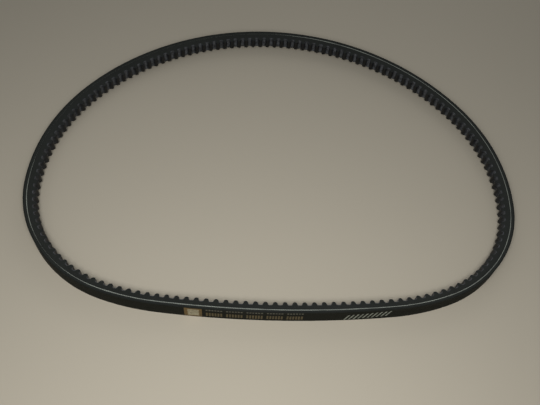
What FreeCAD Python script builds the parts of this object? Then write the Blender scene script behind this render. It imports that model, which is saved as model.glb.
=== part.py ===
import FreeCAD, Part
import math
import os

import Sketcher

# Raw-edge cogged V-belt lying on one flank edge, in millimetres.
# Z is the width direction of the belt (parallel to the pulley shafts), the loop runs round Z,
# and the origin is the middle of the loop's box.

os.makedirs("parts", exist_ok=True)
doc = FreeCAD.newDocument("VBelt")

# ---------------------------------------------------------------- driving dimensions
DIMENSIONS = [
    # belt section: depths are measured from the back of the belt towards the pulley shaft
    ("top_width", 13.0),
    ("belt_height", 9.0),
    ("flank_half_angle", 18.0),
    ("cover_bottom", 0.8),
    ("overcord_bottom", 1.7),
    ("cord_depth", 2.5),
    ("cushion_bottom", 3.3),
    ("cord_diameter", 1.0),
    ("cord_spacing", 1.4),
    ("cord_turns", 9),
    # moulded cogs
    ("cog_count", 153),
    ("cog_height", 2.6),
    ("cog_tip_radius", 1.5),
    ("cog_side_angle", 20.0),
    ("notch_fillet_radius", 0.7),
    ("cog_fabric_thickness", 0.4),
    # lie of the loop: the back of the belt is a closed chain of tangent arcs, anticlockwise
    ("start_x", -66.224),
    ("start_y", -136.652),
    ("near_run_radius", 739.0),
    ("near_run_sweep", 12.4),
    ("near_bend_radius", 158.0),
    ("near_bend_sweep", 14.9),
    ("right_corner_radius", 91.1),
    ("right_corner_sweep", 61.9),
    ("right_side_radius", 145.0),
    ("right_side_sweep", 40.8),
    ("far_side_sweep", 108.8),
    ("left_side_sweep", 40.0),
    ("left_corner_radius", 95.3),
    ("left_corner_sweep", 68.3),
    ("left_bend_radius", 176.7),
    # printed marks on the back of the near run
    ("print_thickness", 0.06),
]

# Plain printed shapes: (first station, last station, low height, high height).
LABEL = (19.1, 30.8, -5.9, 5.9)
LABEL_PANEL = (21.4, 28.8, -4.4, 4.4)
UPPER_ROW = (4.2, 5.6)
LOWER_ROW = (-3.9, 1.0)
BARS_START = 33.4
BAR_GROUPS = 5
BARS_IN_GROUP = 6
BAR_LENGTH = 1.2
BAR_STEP = 1.9
GROUP_STEP = 13.3
STROKES = 10
STROKES_START = 125.0
STROKE_STEP = 3.1
STROKE_WIDTH = 1.1
STROKE_LEAN = 2.6
STROKE_HEIGHT = 7.0
STROKE_LOW = -5.6
STROKE_RISE = 0.33

sheet = doc.addObject("Spreadsheet::Sheet", "Dimensions")
for row, (alias, value) in enumerate(DIMENSIONS, start=1):
    sheet.set("A%d" % row, alias)
    sheet.set("B%d" % row, str(value))
    sheet.setAlias("B%d" % row, alias)
doc.recompute()


def size(alias):
    return float(sheet.get(alias))


# ---------------------------------------------------------------- path of the belt's back
# The far side and left side radii are the two that close the loop on itself.
BENDS = [
    ("near_run", size("near_run_radius"), size("near_run_sweep")),
    ("near_bend", size("near_bend_radius"), size("near_bend_sweep")),
    ("right_corner", size("right_corner_radius"), size("right_corner_sweep")),
    ("right_side", size("right_side_radius"), size("right_side_sweep")),
    ("far_side", None, size("far_side_sweep")),
    ("left_side", None, size("left_side_sweep")),
    ("left_corner", size("left_corner_radius"), size("left_corner_sweep")),
    ("left_bend", size("left_bend_radius"), None),
]


def unit_chord(heading, sweep):
    """Chord of a unit-radius arc that starts on this heading and turns left by sweep."""
    return (math.sin(heading + sweep) - math.sin(heading),
            math.cos(heading) - math.cos(heading + sweep))


def close_loop(bends):
    """Give every bend its heading and fill in the last sweep and the two free radii."""
    last_sweep = 360.0 - sum(sweep for _, _, sweep in bends if sweep is not None)
    heading = 0.0
    chords = []
    for name, radius, sweep in bends:
        turn = math.radians(last_sweep if sweep is None else sweep)
        chords.append((name, radius, heading, turn, unit_chord(heading, turn)))
        heading += turn
    gap_x = sum(radius * chord[0] for _, radius, _, _, chord in chords if radius)
    gap_y = sum(radius * chord[1] for _, radius, _, _, chord in chords if radius)
    (ax, ay), (bx, by) = [chord for _, radius, _, _, chord in chords if radius is None]
    cross = ax * by - ay * bx
    free = iter([(gap_y * bx - gap_x * by) / cross, (gap_x * ay - gap_y * ax) / cross])
    x, y = size("start_x"), size("start_y")
    path = []
    for name, radius, start_heading, turn, chord in chords:
        r = next(free) if radius is None else radius
        centre = FreeCAD.Vector(x - r * math.sin(start_heading), y + r * math.cos(start_heading), 0)
        path.append((name, centre, r, start_heading, turn))
        x += r * chord[0]
        y += r * chord[1]
    return path


path = close_loop(BENDS)
for name, centre, radius, heading, turn in path:
    print("bend %-13s radius %7.2f  sweep %6.2f" % (name, radius, math.degrees(turn)))

belt_path = doc.addObject("Sketcher::SketchObject", "BeltPath")
for name, centre, radius, heading, turn in path:
    start_angle = heading - math.pi / 2
    circle = Part.Circle(centre, FreeCAD.Vector(0, 0, 1), radius)
    belt_path.addGeometry(Part.ArcOfCircle(circle, start_angle, start_angle + turn), False)
START, END, CENTRE, ORIGIN = 1, 2, 3, -1
for arc in range(len(path)):
    belt_path.addConstraint(Sketcher.Constraint("Tangent", arc, END, (arc + 1) % len(path), START))
belt_path.addConstraint(Sketcher.Constraint("Vertical", 0, CENTRE, 0, START))


def bind(sketch, kind, arguments, name, expression):
    """Add one driving constraint whose value is read from the sheet."""
    index = sketch.addConstraint(Sketcher.Constraint(kind, *arguments))
    sketch.renameConstraint(index, name)
    sketch.setExpression("Constraints." + name, expression)


bind(belt_path, "DistanceX", (ORIGIN, 1, 0, START, size("start_x")), "start_x", "Dimensions.start_x")
bind(belt_path, "DistanceY", (ORIGIN, 1, 0, START, size("start_y")), "start_y", "Dimensions.start_y")
for arc, (name, radius, sweep) in enumerate(BENDS):
    if radius is not None:
        bind(belt_path, "Radius", (arc, radius), name + "_radius",
             "Dimensions." + name + "_radius * 1 mm")
    if sweep is not None:
        bind(belt_path, "Angle", (arc, math.radians(sweep)), name + "_sweep",
             "Dimensions." + name + "_sweep * 1 deg")
doc.recompute()

# ---------------------------------------------------------------- swept layers of the section
# A section sketch stands across the start of the path: its X is depth, its Y is belt width.
ACROSS_START = FreeCAD.Rotation(FreeCAD.Vector(0, 1, 0), FreeCAD.Vector(0, 0, 1),
                                FreeCAD.Vector(1, 0, 0), "XYZ")


def stand_at_start(item):
    item.Placement = FreeCAD.Placement(FreeCAD.Vector(0, 0, 0), ACROSS_START)
    item.setExpression(".Placement.Base.x", "Dimensions.start_x * 1 mm")
    item.setExpression(".Placement.Base.y", "Dimensions.start_y * 1 mm")


def sweep_round(section, name):
    """Carry a closed section once round the belt path as a solid."""
    ring = doc.addObject("Part::Sweep", name)
    ring.Sections = [section]
    ring.Spine = (belt_path, ["Edge%d" % (arc + 1) for arc in range(len(path))])
    ring.Solid = True
    ring.Frenet = False
    return ring


def half_width(depth):
    """Expression for half the belt's width at a depth expression."""
    return "(Dimensions.top_width / 2 - (%s) * tan(Dimensions.flank_half_angle * 1 deg)) * 1 mm" % depth


def layer(name, outer, inner):
    """One V-flanked layer of the belt between two depths, each an expression of the sheet."""
    sketch = doc.addObject("Sketcher::SketchObject", name + "_section")
    stand_at_start(sketch)
    corners = [FreeCAD.Vector(*corner, 0) for corner in ((1, -6), (3, -5), (3, 5), (1, 6))]
    for side in range(4):
        sketch.addGeometry(Part.LineSegment(corners[side], corners[(side + 1) % 4]), False)
    for side in range(4):
        sketch.addConstraint(Sketcher.Constraint("Coincident", side, END, (side + 1) % 4, START))
    sketch.addConstraint(Sketcher.Constraint("Symmetric", 1, START, 1, END, -1))
    sketch.addConstraint(Sketcher.Constraint("Symmetric", 3, START, 3, END, -1))
    bind(sketch, "DistanceX", (ORIGIN, 1, 3, END, 1), "outer_depth", "(%s) * 1 mm" % outer)
    bind(sketch, "DistanceX", (ORIGIN, 1, 1, START, 3), "inner_depth", "(%s) * 1 mm" % inner)
    bind(sketch, "DistanceY", (ORIGIN, 1, 3, START, 6), "outer_half_width", half_width(outer))
    bind(sketch, "DistanceY", (ORIGIN, 1, 1, END, 5), "inner_half_width", half_width(inner))
    return sweep_round(sketch, name)


cover_fabric = layer("cover_fabric", "0", "Dimensions.cover_bottom")
overcord_rubber = layer("overcord_rubber", "Dimensions.cover_bottom", "Dimensions.overcord_bottom")
cushion_above = layer("cushion_above", "Dimensions.overcord_bottom", "Dimensions.cord_depth")
cushion_below = layer("cushion_below", "Dimensions.cord_depth", "Dimensions.cushion_bottom")
uncut_base = layer("uncut_base", "Dimensions.cushion_bottom", "Dimensions.belt_height + 0.5")

# ---------------------------------------------------------------- tensile cord
turns = []
for turn in range(int(size("cord_turns"))):
    cord_circle = doc.addObject("Part::Circle", "cord_circle_%d" % (turn + 1))
    cord_circle.setExpression("Radius", "Dimensions.cord_diameter / 2 * 1 mm")
    cord_circle.Placement = FreeCAD.Placement(FreeCAD.Vector(0, 0, 0), ACROSS_START)
    cord_circle.setExpression(".Placement.Base.x", "Dimensions.start_x * 1 mm")
    cord_circle.setExpression(".Placement.Base.y", "(Dimensions.start_y + Dimensions.cord_depth) * 1 mm")
    cord_circle.setExpression(
        ".Placement.Base.z",
        "(%d - (Dimensions.cord_turns - 1) / 2) * Dimensions.cord_spacing * 1 mm" % turn)
    turns.append(sweep_round(cord_circle, "cord_turn_%d" % (turn + 1)))
cord_windings = doc.addObject("Part::Compound", "cord_windings")
cord_windings.Links = turns


def boolean(kind, name, base, tool):
    result = doc.addObject("Part::" + kind, name)
    result.Base = base
    result.Tool = tool
    return result


# The flank cuts the outermost turn open, so its section is a circle less the part past the flank.
cut_section = doc.addObject("Sketcher::SketchObject", "cut_turn_section")
stand_at_start(cut_section)
flank_half = size("top_width") / 2 - size("cord_depth") * math.tan(math.radians(size("flank_half_angle")))
outer_turn = (size("cord_turns") - 1) / 2 * size("cord_spacing")
cord_radius = size("cord_diameter") / 2
cord_centre = FreeCAD.Vector(size("cord_depth"), outer_turn, 0)
across_flank = math.radians(90 - size("flank_half_angle"))
to_flank = (flank_half - outer_turn) * math.sin(across_flank)
half_open = math.acos(to_flank / cord_radius)
cord_outline = Part.Circle(cord_centre, FreeCAD.Vector(0, 0, 1), cord_radius)
inner_half = Part.ArcOfCircle(cord_outline, across_flank + half_open, 3 * math.pi / 2)
outer_half = Part.ArcOfCircle(cord_outline, 3 * math.pi / 2, across_flank - half_open + 2 * math.pi)
cut_section.addGeometry(inner_half, False)
cut_section.addGeometry(outer_half, False)
cut_section.addGeometry(Part.LineSegment(outer_half.EndPoint, inner_half.StartPoint), False)
for side in range(3):
    cut_section.addConstraint(Sketcher.Constraint("Coincident", side, END, (side + 1) % 3, START))
cut_section.addConstraint(Sketcher.Constraint("Coincident", 0, CENTRE, 1, CENTRE))
cut_section.addConstraint(Sketcher.Constraint("Vertical", 0, CENTRE, 0, END))
bind(cut_section, "DistanceX", (ORIGIN, 1, 0, CENTRE, cord_centre.x), "depth",
     "Dimensions.cord_depth * 1 mm")
bind(cut_section, "DistanceY", (ORIGIN, 1, 0, CENTRE, cord_centre.y), "height",
     "(Dimensions.cord_turns - 1) / 2 * Dimensions.cord_spacing * 1 mm")
bind(cut_section, "Radius", (0, cord_radius), "radius", "Dimensions.cord_diameter / 2 * 1 mm")
bind(cut_section, "Distance", (0, CENTRE, 2, to_flank), "to_flank",
     "(Dimensions.top_width / 2 - Dimensions.cord_depth * tan(Dimensions.flank_half_angle * 1 deg)"
     " - (Dimensions.cord_turns - 1) / 2 * Dimensions.cord_spacing)"
     " * cos(Dimensions.flank_half_angle * 1 deg) * 1 mm")
bind(cut_section, "Angle", (2, across_flank + math.pi / 2), "flank",
     "180 deg - Dimensions.flank_half_angle * 1 deg")
upper_cut_turn = sweep_round(cut_section, "upper_cut_turn")
lower_cut_turn = doc.addObject("Part::Mirroring", "lower_cut_turn")
lower_cut_turn.Source = upper_cut_turn
lower_cut_turn.Normal = FreeCAD.Vector(0, 0, 1)
tensile_cord = doc.addObject("Part::Compound", "tensile_cord")
tensile_cord.Links = [lower_cut_turn] + turns[1:-1] + [upper_cut_turn]
upper_cushion_gum = boolean("Cut", "upper_cushion_gum", cushion_above, cord_windings)
lower_cushion_gum = boolean("Cut", "lower_cushion_gum", cushion_below, cord_windings)

# ---------------------------------------------------------------- moulded cogs
# Each cog keeps its own shape as the belt bends: a rounded tip, two straight sides and two
# fillets that run out into the flat notch floors, which open or close with the bend.
SIDE = math.radians(size("cog_side_angle"))
TIP_RADIUS = size("cog_tip_radius")
FILLET_RADIUS = size("notch_fillet_radius")
BELT_HEIGHT = size("belt_height")
ROOT_DEPTH = BELT_HEIGHT - size("cog_height")
CORD_DEPTH = size("cord_depth")


def cord_length():
    return sum((radius - CORD_DEPTH) * turn for _, _, radius, _, turn in path)


PITCH = cord_length() / int(size("cog_count"))
print("pitch %.3f  cord line %.2f" % (PITCH, cord_length()))


def frame_at(station):
    """Point on the back of the belt, direction of travel and direction into the loop."""
    left = station % cord_length()
    for name, centre, radius, heading, turn in path:
        run = (radius - CORD_DEPTH) * turn
        if left <= run:
            break
        left -= run
    direction = heading + left / (radius - CORD_DEPTH)
    along = FreeCAD.Vector(math.cos(direction), math.sin(direction), 0)
    inward = FreeCAD.Vector(-math.sin(direction), math.cos(direction), 0)
    return centre - inward * radius, along, inward


def cog_profile(inset):
    """Half a cog as (along, depth) points, set back from the surface by inset: the tip, its
    tangent point, both ends and the middle of the fillet."""
    tip_radius, fillet_radius = TIP_RADIUS - inset, FILLET_RADIUS + inset
    tip_centre = BELT_HEIGHT - TIP_RADIUS
    fillet_centre = ROOT_DEPTH + FILLET_RADIUS
    centre_along = ((TIP_RADIUS + FILLET_RADIUS - (fillet_centre - tip_centre) * math.sin(SIDE))
                    / math.cos(SIDE))
    half_way = (SIDE + math.pi / 2) / 2
    return [(0, BELT_HEIGHT - inset),
            (tip_radius * math.cos(SIDE), tip_centre + tip_radius * math.sin(SIDE)),
            (centre_along - fillet_radius * math.cos(SIDE),
             fillet_centre - fillet_radius * math.sin(SIDE)),
            (centre_along - fillet_radius * math.cos(half_way),
             fillet_centre - fillet_radius * math.sin(half_way)),
            (centre_along, ROOT_DEPTH - inset)]


def cog_outline(inset):
    """Closed wire along the cogged side, set back from the surface by inset."""
    half = cog_profile(inset)
    whole = [(-along, depth) for along, depth in reversed(half[1:])] + half
    cogs = []
    for cog in range(int(size("cog_count"))):
        back, forward, inward = frame_at(cog * PITCH)
        cogs.append([back + forward * along + inward * depth for along, depth in whole])
    edges = []
    for cog, corners in enumerate(cogs):
        floor_end, rise_middle, rise, left_tip, tip, right_tip, fall, fall_middle, floor = corners
        edges.append(Part.Arc(floor_end, rise_middle, rise).toShape())
        edges.append(Part.makeLine(rise, left_tip))
        edges.append(Part.Arc(left_tip, tip, right_tip).toShape())
        edges.append(Part.makeLine(right_tip, fall))
        edges.append(Part.Arc(fall, fall_middle, floor).toShape())
        edges.append(Part.makeLine(floor, cogs[(cog + 1) % len(cogs)][0]))
    return Part.Wire(edges)


def loop_core(name, inset):
    """Everything inside the loop up to the cogged surface, as a prism across the belt."""
    core = doc.addObject("Part::Feature", name)
    width = size("top_width")
    prism = Part.Face(cog_outline(inset)).extrude(FreeCAD.Vector(0, 0, width))
    prism.translate(FreeCAD.Vector(0, 0, -width / 2))
    core.Shape = prism
    return core


open_core = loop_core("open_core", 0)
fabric_core = loop_core("fabric_core", size("cog_fabric_thickness"))
compression_rubber = boolean("Cut", "compression_rubber", uncut_base, fabric_core)
fabric_blank = boolean("Common", "fabric_blank", uncut_base, fabric_core)
cog_fabric = boolean("Cut", "cog_fabric", fabric_blank, open_core)

# ---------------------------------------------------------------- printed marks
# Thin transfers on the back of the near run, all of them plain shapes.
# Stations run along the near run from its left end; heights are from the middle of the back.
NEAR_CENTRE, NEAR_RADIUS = path[0][1], path[0][2]
FILM = size("print_thickness")


def on_near_run(station, outward):
    angle = station / NEAR_RADIUS - math.pi / 2
    reach = NEAR_RADIUS + outward
    return NEAR_CENTRE + FreeCAD.Vector(math.cos(angle), math.sin(angle), 0) * reach


def film_between(first, last, low, high):
    """A curved rectangle of print film lying on the back."""
    corners = [on_near_run(first, outward) + FreeCAD.Vector(0, 0, height)
               for outward, height in ((0, low), (FILM, low), (FILM, high), (0, high))]
    edge = Part.Face(Part.makePolygon(corners + corners[:1]))
    turn = math.degrees((last - first) / NEAR_RADIUS)
    return edge.revolve(NEAR_CENTRE, FreeCAD.Vector(0, 0, 1), turn)


def stamp(outline):
    """A prism through the film with this outline of (station, height) points."""
    middle = sum(station for station, _ in outline) / len(outline)
    foot = on_near_run(middle, -1)
    outward = (on_near_run(middle, 1) - foot).normalize()
    along = FreeCAD.Vector(0, 0, 1).cross(outward)
    corners = [foot + along * (station - middle) + FreeCAD.Vector(0, 0, height)
               for station, height in outline]
    return Part.Face(Part.makePolygon(corners + corners[:1])).extrude(outward * 2)


def rectangle(first, last, low, high):
    return [(first, low), (last, low), (last, high), (first, high)]


def mark(name, shape):
    item = doc.addObject("Part::Feature", name)
    item.Shape = shape
    return item


label = film_between(*LABEL)
panel_stamp = stamp(rectangle(*LABEL_PANEL))
label_block = mark("label_block", label.cut(panel_stamp))
label_panel = mark("label_panel", label.common(panel_stamp))


def bar_row(low, high):
    """Even plain bars in groups, with a wider space after each group."""
    bars = []
    for group in range(BAR_GROUPS):
        for bar in range(BARS_IN_GROUP):
            first = BARS_START + group * GROUP_STEP + bar * BAR_STEP
            bars.append(film_between(first, first + BAR_LENGTH, low, high))
    return Part.makeCompound(bars)


upper_bars = mark("upper_bars", bar_row(*UPPER_ROW))
lower_bars = mark("lower_bars", bar_row(*LOWER_ROW))

stroke_film = film_between(STROKES_START - 2, STROKES_START + STROKES * STROKE_STEP + 6, -6, 6)
strokes = []
for stroke in range(STROKES):
    foot = STROKES_START + stroke * STROKE_STEP
    low = STROKE_LOW + stroke * STROKE_RISE
    high = low + STROKE_HEIGHT
    slant = [(foot, low), (foot + STROKE_WIDTH, low),
             (foot + STROKE_WIDTH + STROKE_LEAN, high), (foot + STROKE_LEAN, high)]
    strokes.append(stroke_film.common(stamp(slant)))
slanted_strokes = mark("slanted_strokes", Part.makeCompound(strokes))

# ---------------------------------------------------------------- check and export
PIECES = [cover_fabric, overcord_rubber, upper_cushion_gum, tensile_cord, lower_cushion_gum,
          compression_rubber, cog_fabric, label_block, label_panel, upper_bars, lower_bars,
          slanted_strokes]
for piece in PIECES:
    piece.Label = piece.Name
doc.recompute()

for item in doc.Objects:
    if "Invalid" in item.State or "Error" in item.State:
        raise RuntimeError("%s: %s" % (item.Name, item.State))
for piece in PIECES:
    if piece.Shape.isNull() or not piece.Shape.isValid():
        raise RuntimeError("%s has no valid shape" % piece.Name)
for piece in PIECES:
    print("%-20s %3d solids %9.1f mm3" % (piece.Label, len(piece.Shape.Solids), piece.Shape.Volume))
    piece.Shape.exportStep("parts/%s.step" % piece.Label)
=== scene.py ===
import math

import bpy
from mathutils import Matrix, Quaternion, Vector


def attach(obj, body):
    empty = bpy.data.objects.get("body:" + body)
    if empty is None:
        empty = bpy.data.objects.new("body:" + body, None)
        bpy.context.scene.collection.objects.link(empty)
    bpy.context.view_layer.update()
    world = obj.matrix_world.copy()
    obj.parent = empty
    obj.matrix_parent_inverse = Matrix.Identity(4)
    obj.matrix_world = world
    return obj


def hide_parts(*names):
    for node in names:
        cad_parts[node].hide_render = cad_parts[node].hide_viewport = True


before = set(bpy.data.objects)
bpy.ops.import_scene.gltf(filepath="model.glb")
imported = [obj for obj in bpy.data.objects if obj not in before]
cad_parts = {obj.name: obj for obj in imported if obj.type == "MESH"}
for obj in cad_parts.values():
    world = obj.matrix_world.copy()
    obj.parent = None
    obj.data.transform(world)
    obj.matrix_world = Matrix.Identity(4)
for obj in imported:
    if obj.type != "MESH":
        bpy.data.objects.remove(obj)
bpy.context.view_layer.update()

# ---------------------------------------------------------------- sizes, in metres
MM = 0.001
TOP_HALF = 6.5 * MM
FLANK_SLOPE = math.tan(math.radians(18.0))
BELT_HEIGHT = 9.0 * MM
COVER_BOTTOM = 0.8 * MM
OVERCORD_BOTTOM = 1.7 * MM
CORD_DEPTH = 2.5 * MM
CUSHION_BOTTOM = 3.3 * MM
COG_COUNT = 153
COG_HEIGHT = 2.6 * MM
TIP_RADIUS = 1.5 * MM
COG_SIDE = math.radians(20.0)
FILLET_RADIUS = 0.7 * MM
CLOTH = 0.4 * MM
COVER_BEVEL = 0.12 * MM
GUM_PROUD = 0.03 * MM

# Threads of the two cloths, and the length of one ply of the cord.
COVER_THREAD = 0.55 * MM
COG_THREAD = 0.42 * MM
PLY_LENGTH = 1.5 * MM

# Points round the loop on a swept layer and on the light line.
LAYER_STATIONS = 800
LINE_STATIONS = 1600

# Where rubber covers the light line: middle along the cord, flat half and fade, in millimetres.
HIDDEN_STRETCH = (702.0, 122.0, 40.0)
THINNED_STRETCH = (917.0, 8.0, 38.0)

# The back of the belt: tangent arcs of (radius, sweep) in millimetres and degrees,
# anticlockwise from the left end of the near run.
START = Vector((-66.224, -136.652, 0.0)) * MM
ARCS = [(739.0, 12.4), (158.0, 14.9), (91.1, 61.9), (145.0, 40.8),
        (188.24, 108.8), (148.73, 40.0), (95.3, 68.3), (176.7, 12.9)]


def half_width(depth):
    return TOP_HALF - depth * FLANK_SLOPE


# ---------------------------------------------------------------- path
def arcs_of_path():
    arcs = []
    point, heading = START.copy(), 0.0
    for radius, sweep in ARCS:
        radius, turn = radius * MM, math.radians(sweep)
        left = Vector((-math.sin(heading), math.cos(heading), 0.0))
        centre = point + left * radius
        arcs.append((centre, radius, heading, turn))
        heading += turn
        point = centre + Vector((math.sin(heading), -math.cos(heading), 0.0)) * radius
    return arcs


PATH = arcs_of_path()
CORD_LENGTH = sum((radius - CORD_DEPTH) * turn for _, radius, _, turn in PATH)
PITCH = CORD_LENGTH / COG_COUNT


def frame_at(station):
    """Back of the belt, way along and way into the loop at a distance along the cord line."""
    left = station % CORD_LENGTH
    for centre, radius, heading, turn in PATH:
        run = (radius - CORD_DEPTH) * turn
        if left <= run:
            break
        left -= run
    direction = heading + left / (radius - CORD_DEPTH)
    along = Vector((math.cos(direction), math.sin(direction), 0.0))
    inward = Vector((-math.sin(direction), math.cos(direction), 0.0))
    return centre - inward * radius, along, inward


# ---------------------------------------------------------------- mesh helpers
def finish_piece(name, mesh, material, slot, *nodes):
    mesh.validate()
    mesh.set_sharp_from_angle(angle=math.radians(35))
    piece = bpy.data.objects.new(name, mesh)
    bpy.context.scene.collection.objects.link(piece)
    piece.data.materials.append(material)
    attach(piece, "root")
    if nodes:
        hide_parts(*nodes)
    return piece


def lengths_along(points):
    total, out = 0.0, [0.0]
    for a, b in zip(points, points[1:]):
        total += (b - a).length
        out.append(total)
    return out


def grid_mesh(name, stations, rows, closed_section=True):
    """Faces between neighbouring rows of points, once round the loop, with a lay map of
    (distance along the belt, distance round the section)."""
    mesh = bpy.data.meshes.new(name)
    count = len(rows[0])
    points = [point for row in rows for point in row]
    faces = []
    uvs = []
    round_section = lengths_along(rows[0] + rows[0][:1])
    sides = count if closed_section else count - 1
    for i in range(len(rows)):
        j = (i + 1) % len(rows)
        first = stations[i]
        last = stations[j] if j else CORD_LENGTH + stations[0]
        for k in range(sides):
            m = (k + 1) % count
            faces.append((i * count + k, j * count + k, j * count + m, i * count + m))
            low, high = round_section[k], round_section[k + 1]
            uvs += [(first, low), (last, low), (last, high), (first, high)]
    mesh.from_pydata([tuple(point) for point in points], [], faces)
    lay = mesh.uv_layers.new(name="lay")
    for loop, uv in zip(lay.data, uvs):
        loop.uv = uv
    return mesh


def even_stations(count):
    return [CORD_LENGTH * i / count for i in range(count)]


def swept(name, section, count=LAYER_STATIONS):
    """A closed section of (depth, height) points carried once round the loop."""
    stations = even_stations(count)
    rows = []
    for station in stations:
        back, _, inward = frame_at(station)
        rows.append([back + inward * depth + Vector((0, 0, height)) for depth, height in section])
    return grid_mesh(name, stations, rows)


def layer_section(outer, inner, proud=0.0, bevel=0.0):
    """Clockwise V-flanked section between two depths: proud of the flank by proud, and with
    the outer corners eased by bevel."""
    low, high = half_width(outer) + proud, half_width(inner) + proud
    if bevel:
        return [(outer, -low + bevel), (outer, 0.0), (outer, low - bevel),
                (outer + bevel, low - bevel * FLANK_SLOPE), (inner, high), (inner, -high),
                (outer + bevel, -low + bevel * FLANK_SLOPE)]
    return [(outer, -low), (outer, low), (inner, high), (inner, -high)]


# ---------------------------------------------------------------- cog profile
ROOT_DEPTH = BELT_HEIGHT - COG_HEIGHT


def bow(centre, radius, first, last, count):
    """Points (along, depth) on an arc between two angles, both ends included."""
    angles = [first + (last - first) * i / count for i in range(count + 1)]
    return [(centre[0] + radius * math.cos(a), centre[1] + radius * math.sin(a)) for a in angles]


def cog_profile(inset):
    """One cog as (along, depth) points from notch floor to notch floor, set back by inset."""
    tip_centre = BELT_HEIGHT - TIP_RADIUS
    fillet_centre = ROOT_DEPTH + FILLET_RADIUS
    reach = ((TIP_RADIUS + FILLET_RADIUS - (fillet_centre - tip_centre) * math.sin(COG_SIDE))
             / math.cos(COG_SIDE))
    tip = bow((0.0, tip_centre), TIP_RADIUS - inset, math.pi / 2, COG_SIDE, 4)
    fillet = bow((reach, fillet_centre), FILLET_RADIUS + inset,
                 math.pi + COG_SIDE, math.pi * 1.5, 4)
    half = tip + fillet
    return [(-along, depth) for along, depth in reversed(half[1:])] + half


def cog_line(inset):
    """Points along the cogged side set back by inset, and the station of each."""
    profile = cog_profile(inset)
    points = []
    stations = []
    for cog in range(COG_COUNT):
        back, forward, inward = frame_at(cog * PITCH)
        points += [back + forward * along + inward * depth for along, depth in profile]
        stations += [cog * PITCH + along for along, _ in profile]
    return points, stations


def depth_and_inward(point):
    """Depth of a point below the back and the way into the loop there."""
    found = []
    for centre, radius, heading, turn in PATH:
        spoke = centre - point
        past = (math.atan2(-spoke.x, spoke.y) - heading + math.pi) % (2 * math.pi) - math.pi
        if -1e-6 <= past <= turn + 1e-6:
            found.append((radius - spoke.length, spoke.normalized()))
    return min(found, key=lambda pair: abs(pair[0]))


def cogged_ring(name, outer_line, inner_line, stations):
    """A ring between two lines in plan, with its edges on the belt's flanks."""
    rows = []
    for outer, inner in zip(outer_line, inner_line):
        outer_depth, inward = depth_and_inward(outer)
        inner_depth, _ = depth_and_inward(inner)
        high, low = half_width(outer_depth), half_width(inner_depth)
        up = Vector((0, 0, 1))
        rows.append([outer - up * high, outer + up * high, inner + up * low,
                     inner + up * low * 0.5, inner, inner - up * low * 0.5, inner - up * low])
    return grid_mesh(name, stations, rows)


cog_points, cog_stations = cog_line(0.0)
cloth_points, _ = cog_line(CLOTH)
base_top = []
for point in cloth_points:
    depth, inward = depth_and_inward(point)
    base_top.append(point - inward * (depth - CUSHION_BOTTOM))


# ---------------------------------------------------------------- material graph helper
class Graph:
    """A material whose nodes are added one call at a time."""

    def __init__(self, name):
        self.material = bpy.data.materials.new(name)
        self.material.use_nodes = True
        self.tree = self.material.node_tree
        self.shader = self.tree.nodes["Principled BSDF"]

    def add(self, kind, inputs=(), **properties):
        node = self.tree.nodes.new("ShaderNode" + kind)
        for key, value in properties.items():
            setattr(node, key, value)
        for key, value in dict(inputs).items():
            self.put(node, key, value)
        return node

    def put(self, node, key, value):
        if isinstance(value, bpy.types.NodeSocket):
            self.tree.links.new(value, node.inputs[key])
        else:
            node.inputs[key].default_value = value

    def lay(self):
        """Distances along and across the belt, from the piece's lay map."""
        return self.add("UVMap", uv_map="lay").outputs[0]

    def scaled(self, vector, x, y):
        return self.add("VectorMath", {0: vector, 1: (x, y, 1.0)}, operation="MULTIPLY").outputs[0]

    def noise(self, vector, scale, detail=3.0, roughness=0.5):
        return self.add("TexNoise", {"Vector": vector, "Scale": scale, "Detail": detail,
                                     "Roughness": roughness}).outputs["Fac"]

    def span(self, value, low, high, to_low=0.0, to_high=1.0):
        return self.add("MapRange", {"Value": value, "From Min": low, "From Max": high,
                                     "To Min": to_low, "To Max": to_high}).outputs[0]

    def maths(self, operation, a, b=0.0):
        return self.add("Math", {0: a, 1: b}, operation=operation).outputs[0]

    def blend(self, factor, a, b):
        node = self.add("Mix", data_type="RGBA")
        for key, value in (("Factor_Float", factor), ("A_Color", a), ("B_Color", b)):
            socket = next(s for s in node.inputs if s.identifier == key)
            if isinstance(value, bpy.types.NodeSocket):
                self.tree.links.new(value, socket)
            else:
                socket.default_value = value
        return next(s for s in node.outputs if s.identifier == "Result_Color")

    def bump(self, height, distance, strength=1.0):
        node = self.add("Bump", {"Height": height, "Distance": distance, "Strength": strength})
        self.tree.links.new(node.outputs[0], self.shader.inputs["Normal"])

    def set(self, **values):
        for key, value in values.items():
            self.put(self.shader, key.replace("_", " "), value)


# Black rubber and cloth are never quite neutral: red and blue as shares of green.
GROUND_TINT = (0.91, 0.88)
COVER_TINT = (0.93, 0.76)
COG_TINT = (0.94, 1.1)
CORD_TINT = (0.93, 0.86)
GROUND_TONE = 0.022


def tone(value, tint=(1.0, 1.0)):
    return (value * tint[0], value, value * tint[1], 1.0)


def weave(graph, vector, thread):
    """Plain weave: threads along and across pass over each other in turn."""
    parts = graph.add("SeparateXYZ", {0: vector}).outputs
    turn = math.pi / thread
    along = graph.maths("SINE", graph.maths("MULTIPLY", parts[0], turn))
    across = graph.maths("SINE", graph.maths("MULTIPLY", parts[1], turn))
    over = graph.maths("GREATER_THAN", graph.maths("MULTIPLY", along, across), 0.0)
    high = graph.maths("MULTIPLY", graph.maths("ABSOLUTE", along), over)
    under = graph.maths("SUBTRACT", 1.0, over)
    low = graph.maths("MULTIPLY", graph.maths("ABSOLUTE", across), under)
    return graph.maths("ADD", high, low)


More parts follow.
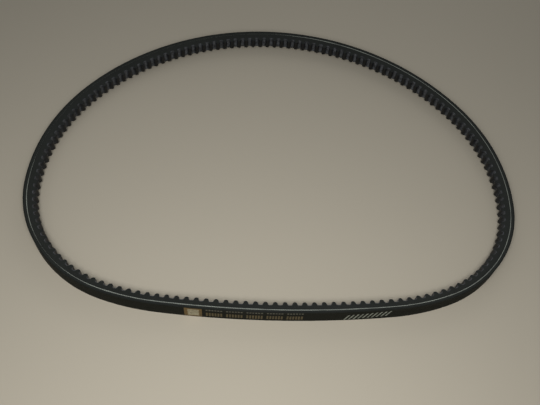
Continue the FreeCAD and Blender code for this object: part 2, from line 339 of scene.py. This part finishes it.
def cover_material():
    """Worn rubbered cloth on the back; its cut edges past the back's width are ground rubber."""
    g = Graph("cover_cloth")
    lay = g.lay()
    cloth = weave(g, lay, COVER_THREAD)
    wear = g.noise(g.scaled(lay, 25.0, 110.0), 1.0, 4.0, 0.6)
    colour = g.blend(wear, tone(0.016, COVER_TINT), tone(0.032, COVER_TINT))
    woven = g.blend(g.span(cloth, 0.1, 0.9, 0.0, 0.7), tone(0.004, COVER_TINT), colour)
    round_section = g.add("SeparateXYZ", {0: lay}).outputs[1]
    edge = g.maths("GREATER_THAN", round_section, 2 * TOP_HALF - 0.2 * MM)
    g.set(Base_Color=g.blend(edge, woven, tone(GROUND_TONE, GROUND_TINT)),
          Roughness=g.span(wear, 0.3, 0.7, 0.5, 0.66), Specular_IOR_Level=0.04)
    g.bump(cloth, 0.04 * MM, 0.6)
    return g.material


def ground_rubber(name, value, flecks):
    """Rubber ground to a flank: fine lines along the belt and the cut ends of short fibres."""
    g = Graph(name)
    lay = g.lay()
    patches = g.noise(g.scaled(lay, 30.0, 160.0), 1.0, 3.0)
    lines = g.noise(g.scaled(lay, 130.0, 9000.0), 1.0, 2.0)
    specks = g.span(g.noise(g.scaled(lay, 2600.0, 4200.0), 1.0, 1.0), 0.66, 0.74)
    dark = g.blend(patches, tone(value * 0.7, GROUND_TINT), tone(value * 1.4, GROUND_TINT))
    g.set(Base_Color=g.blend(g.maths("MULTIPLY", specks, flecks), dark, tone(0.16, CORD_TINT)),
          Roughness=g.span(lines, 0.35, 0.7, 0.55, 0.72), Specular_IOR_Level=0.15)
    g.bump(g.maths("ADD", lines, g.maths("MULTIPLY", specks, 0.6)), 0.02 * MM, 0.8)
    return g.material


def cord_material():
    """Cut open cord: slanting plies of pale fibre with some rubber smeared over them."""
    g = Graph("cut_cord")
    lay = g.lay()
    parts = g.add("SeparateXYZ", {0: lay}).outputs
    slant = g.maths("ADD", parts[0], g.maths("MULTIPLY", parts[1], 1.2))
    plies = g.maths("SINE", g.maths("MULTIPLY", slant, 2 * math.pi / PLY_LENGTH))
    fibres = g.noise(g.scaled(lay, 1500.0, 9000.0), 1.0, 2.0)
    smear = g.noise(g.scaled(lay, 45.0, 300.0), 1.0, 3.0, 0.6)
    light = g.blend(g.span(fibres, 0.3, 0.7), tone(0.24, CORD_TINT), tone(0.52, CORD_TINT))
    ply_shade = g.blend(g.span(plies, -0.9, 0.4, 0.5, 1.0), tone(0.06), light)
    g.set(Base_Color=g.blend(g.span(smear, 0.3, 0.55, 0.45, 1.0), tone(0.07), ply_shade),
          Roughness=0.75, Specular_IOR_Level=0.3)
    g.bump(g.maths("ADD", g.maths("MULTIPLY", plies, 0.5), fibres), 0.03 * MM, 0.8)
    return g.material


def cog_cloth_material():
    """Moulded cloth, rubbed black on the cogs; the notches and lower cog sides are bluish grey,
    partly mould dust and partly a painted glint.
    """
    g = Graph("cog_cloth")
    lay = g.lay()
    cloth = weave(g, lay, COG_THREAD)
    patches = g.noise(g.scaled(lay, 60.0, 60.0), 1.0, 3.0)
    dust_and_glint_patches = g.noise(g.scaled(lay, 420.0, 300.0), 1.0, 3.0, 0.6)
    station = g.add("SeparateXYZ", {0: lay}).outputs[0]
    crest = g.maths("COSINE", g.maths("MULTIPLY", station, 2 * math.pi / PITCH))
    # Bluish grey over the notch floors and lower cog sides, broken into patches by noise: partly
    # mould dust, partly a painted glint.
    dust_and_glint = g.maths("MULTIPLY", g.span(crest, 0.4, -0.8), g.span(dust_and_glint_patches, 0.38, 0.62, 0.25, 1.0))
    black = g.blend(patches, tone(0.004, COG_TINT), tone(0.010, COG_TINT))
    colour = g.blend(dust_and_glint, black, tone(0.135, COG_TINT))
    g.set(Base_Color=g.blend(g.span(cloth, 0.1, 0.9, 0.25, 1.0), tone(0.004, COG_TINT), colour),
          Roughness=g.span(patches, 0.3, 0.7, 0.36, 0.48), Specular_IOR_Level=0.4)
    g.bump(cloth, 0.03 * MM, 0.6)
    return g.material


def print_material(name, ink, under, keep):
    """Ink that has partly worn off the cloth below it."""
    g = Graph(name)
    place = g.add("NewGeometry").outputs["Position"]
    worn = g.noise(place, 900.0, 4.0, 0.7)
    fine = g.noise(place, 5000.0, 2.0)
    amount = g.span(g.maths("ADD", worn, g.maths("MULTIPLY", fine, 0.3)), 0.45, 0.72, keep, 1.0)
    g.set(Base_Color=g.blend(amount, under, ink), Roughness=0.6, Specular_IOR_Level=0.35)
    g.bump(fine, 0.02 * MM, 0.6)
    return g.material


# ---------------------------------------------------------------- belt pieces
rubber = ground_rubber("base_rubber", GROUND_TONE, 0.3)
finish_piece("belt_cover",
             swept("belt_cover", layer_section(0.0, COVER_BOTTOM, bevel=COVER_BEVEL)),
             cover_material(), "cover_fabric", "cover_fabric")
finish_piece("belt_overcord", swept("belt_overcord", layer_section(COVER_BOTTOM, OVERCORD_BOTTOM)),
             ground_rubber("overcord_rubber", GROUND_TONE, 0.12), "belt_rubber", "overcord_rubber")
cushion = ground_rubber("cushion_rubber", GROUND_TONE, 0.08)
finish_piece("belt_upper_cushion",
             swept("belt_upper_cushion", layer_section(OVERCORD_BOTTOM, CORD_DEPTH, GUM_PROUD)),
             cushion, "cushion_rubber", "upper_cushion_gum")
finish_piece("belt_lower_cushion",
             swept("belt_lower_cushion", layer_section(CORD_DEPTH, CUSHION_BOTTOM, GUM_PROUD)),
             cushion, "cushion_rubber", "lower_cushion_gum")
finish_piece("belt_base", cogged_ring("belt_base", base_top, cloth_points, cog_stations),
             rubber, "belt_rubber", "compression_rubber")
finish_piece("belt_cog_cloth",
             cogged_ring("belt_cog_cloth", cloth_points, cog_points, cog_stations),
             cog_cloth_material(), "cog_fabric", "cog_fabric")


def covered(station, middle, flat, fade):
    """1 where smeared rubber covers the cord, falling to 0 over the fade on either side."""
    away = abs(station - middle * MM)
    return min(max((flat * MM + fade * MM - away) / (fade * MM), 0.0), 1.0)


def cord_line(name, side):
    """The light line of the cut cord on one flank: a thin strip just proud of the gum, whose
    width varies round the loop."""
    stations = even_stations(LINE_STATIONS)
    rows = []
    for station in stations:
        back, _, inward = frame_at(station)
        turn = 2 * math.pi * station / CORD_LENGTH
        showing = 0.67 + 0.2 * math.cos(turn - 0.35) + 0.2 * math.cos(2 * turn - 0.5)
        showing *= 1 - 0.97 * covered(station, *HIDDEN_STRETCH)
        showing *= 1 - 0.85 * covered(station, *THINNED_STRETCH)
        ripple = 0.03 * math.sin(23 * turn) + 0.025 * math.sin(61 * turn + 1.0)
        half = (0.33 + ripple) * showing * MM
        shift = (0.03 * math.sin(7 * turn) + 0.02 * math.sin(31 * turn)) * MM
        row = []
        for across in (-1.0, -0.5, 0.0, 0.5, 1.0):
            depth = CORD_DEPTH + shift + across * half
            proud = (0.035 + 0.04 * (1 - across * across)) * MM
            height = half_width(depth) + proud
            row.append(back + inward * depth + Vector((0, 0, side * height)))
        rows.append(row if side > 0 else row[::-1])
    return grid_mesh(name, stations, rows, closed_section=False)


cord = cord_material()
finish_piece("cord_line_upper", cord_line("cord_line_upper", 1.0), cord, "cord")
finish_piece("cord_line_lower", cord_line("cord_line_lower", -1.0), cord, "cord")

# ---------------------------------------------------------------- materials on the CAD nodes
CAD_MATERIALS = {
    "tensile_cord": cord,
    "label_block": print_material(
        "bronze_print", (0.17, 0.105, 0.03, 1), (0.035, 0.026, 0.012, 1), 0.1),
    "label_panel": print_material(
        "pale_print", (0.42, 0.38, 0.25, 1), (0.07, 0.05, 0.025, 1), 0.05),
    "upper_bars": print_material("grey_print", (0.12, 0.115, 0.085, 1), tone(0.02), 0.0),
    "lower_bars": print_material(
        "row_print", (0.115, 0.085, 0.034, 1), (0.02, 0.018, 0.01, 1), 0.0),
    "slanted_strokes": print_material("white_print", (0.32, 0.34, 0.28, 1), tone(0.02), 0.0),
}
for node, material in CAD_MATERIALS.items():
    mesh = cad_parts[node].data
    mesh.materials.clear()
    mesh.materials.append(material)

# ---------------------------------------------------------------- floor, light and camera
FLOOR = -TOP_HALF
bpy.ops.mesh.primitive_plane_add(size=20.0, location=(0.0, 0.0, FLOOR))
floor = bpy.context.object
floor.name = "floor"
paper = Graph("pale_floor")
paper.set(Base_Color=(0.52, 0.47, 0.375, 1), Roughness=0.9, Specular_IOR_Level=0.2)
floor.data.materials.append(paper.material)


def area_light(name, place, aim, size, power, spread):
    data = bpy.data.lights.new(name, "AREA")
    data.size = size
    data.energy = power
    data.spread = math.radians(spread)
    lamp = bpy.data.objects.new(name, data)
    lamp.location = place
    lamp.rotation_euler = (Vector(aim) - Vector(place)).to_track_quat("-Z", "Y").to_euler()
    bpy.context.scene.collection.objects.link(lamp)


area_light("key", (0.0, -0.35, 0.42), (0.0, -0.17, 0.0), 0.22, 1.05, 140.0)
area_light("fill", (-0.5, -0.4, 0.7), (0.0, 0.0, 0.0), 0.6, 0.4, 180.0)
area_light("back", (0.15, 0.8, 0.42), (0.0, 0.0, 0.0), 0.8, 1.2, 180.0)
world = bpy.data.worlds.new("studio")
world.use_nodes = True
world.node_tree.nodes["Background"].inputs[0].default_value = (0.9, 0.95, 1.0, 1.0)
world.node_tree.nodes["Background"].inputs[1].default_value = 0.12
bpy.context.scene.world = world
bpy.context.scene.view_settings.view_transform = "Standard"

LENS = 40.83
DOWN_TILT, ROLL = math.radians(56.06), math.radians(6.06)
HEADING = math.radians(1.0)
DISTANCE = 460.9 * MM
TARGET = Vector((-0.4, -38.55, -6.5)) * MM

camera_data = bpy.data.cameras.new("camera")
camera_data.lens = LENS
camera = bpy.data.objects.new("camera", camera_data)
looking = (Matrix.Rotation(HEADING, 3, "Z")
           @ Vector((0.0, math.cos(DOWN_TILT), -math.sin(DOWN_TILT))))
facing = looking.to_track_quat("-Z", "Y")
camera.rotation_mode = "QUATERNION"
camera.rotation_quaternion = facing @ Quaternion((0.0, 0.0, 1.0), ROLL)
camera.location = TARGET - looking * DISTANCE
bpy.context.scene.collection.objects.link(camera)
bpy.context.scene.camera = camera

bpy.context.view_layer.update()
